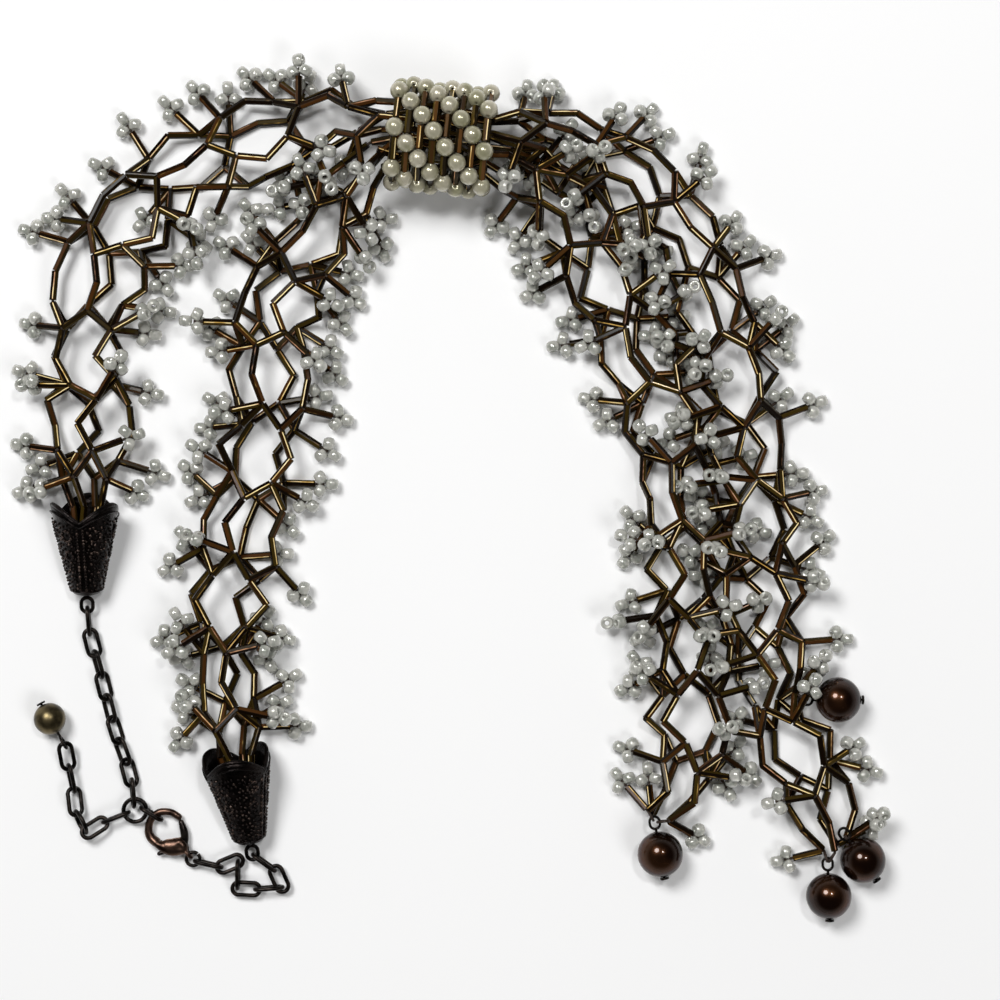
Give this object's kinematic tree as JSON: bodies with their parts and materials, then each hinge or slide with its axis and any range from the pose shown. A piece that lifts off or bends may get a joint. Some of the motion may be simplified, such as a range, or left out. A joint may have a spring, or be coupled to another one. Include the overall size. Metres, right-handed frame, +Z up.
{
  "type": "beaded necklace",
  "caption": "Beaded lariat necklace: two branching nets of bronze bugle beads through a pearl slide, with a double drop, chains, an extender and a lobster clasp.",
  "frame": {"origin": "on the surface the necklace lies on, under the middle of its outline", "axes": "+Z up from the surface; +Y from the drop's ends up to the slide; +X from the neck loop to the double drop"},
  "size_m": [0.1926, 0.19, 0.0228],
  "materials": {
    "bronze_glass": "metallic-lined dark bronze glass bugle beads, hex cut",
    "cream_pearl": "pearl coating on ivory",
    "brown_pearl": "pearl coating on dark chocolate brown",
    "dark_metal": "oxidised gunmetal wire",
    "copper": "antique copper plating, darkened in its hollows",
    "old_brass": "antique brass, olive toned"
  },
  "bodies": {
    "necklace": {"arm_a_1": "bronze_glass", "arm_a_2": "bronze_glass", "arm_a_3": "bronze_glass", "arm_a_4": "bronze_glass", "arm_b_1": "bronze_glass", "arm_b_2": "bronze_glass", "arm_b_3": "bronze_glass", "arm_b_4": "bronze_glass", "brown_pearl_1": "brown_pearl", "brown_pearl_1_pin": "dark_metal", "brown_pearl_2": "brown_pearl", "brown_pearl_2_pin": "dark_metal", "brown_pearl_3": "brown_pearl", "brown_pearl_3_pin": "dark_metal", "brown_pearl_4": "brown_pearl", "brown_pearl_4_pin": "dark_metal", "chain_1": "dark_metal", "chain_2": "dark_metal", "chain_3": "dark_metal", "chain_4": "dark_metal", "chain_5": "dark_metal", "chain_6": "dark_metal", "chain_7": "dark_metal", "chain_8": "dark_metal", "chain_9": "dark_metal", "clasp_body": "copper", "clasp_ring": "dark_metal", "cone_a": "copper", "cone_a_eye": "dark_metal", "cone_b": "copper", "cone_b_eye": "dark_metal", "drop_a_1": "bronze_glass", "drop_a_2": "bronze_glass", "drop_a_3": "bronze_glass", "drop_a_4": "bronze_glass", "drop_b_1": "bronze_glass", "drop_b_2": "bronze_glass", "drop_b_3": "bronze_glass", "drop_b_4": "bronze_glass", "extender_1": "dark_metal", "extender_2": "dark_metal", "extender_3": "dark_metal", "extender_4": "dark_metal", "extender_5": "dark_metal", "extender_6": "dark_metal", "extender_ball": "old_brass", "extender_ball_pin": "dark_metal", "hooked_link": "dark_metal", "jump_ring": "dark_metal", "pearl_slide": "cream_pearl", "pile_1": "dark_metal", "pile_2": "dark_metal", "pile_3": "dark_metal", "pile_4": "dark_metal", "pile_5": "dark_metal", "pile_6": "dark_metal", "pile_7": "dark_metal"},
    "lever": {"clasp_lever": "copper"}
  },
  "joints": [
    {"name": "clasp_lever_pivot", "type": "hinge", "parent": "necklace", "child": "lever", "pos_m": [-0.05873, -0.07861, 0.0017], "axis": [0, 0, 1], "range_deg": [0, 20], "stiffness_Nm_per_rad": 0.004, "springref_deg": -17.19}
  ]
}
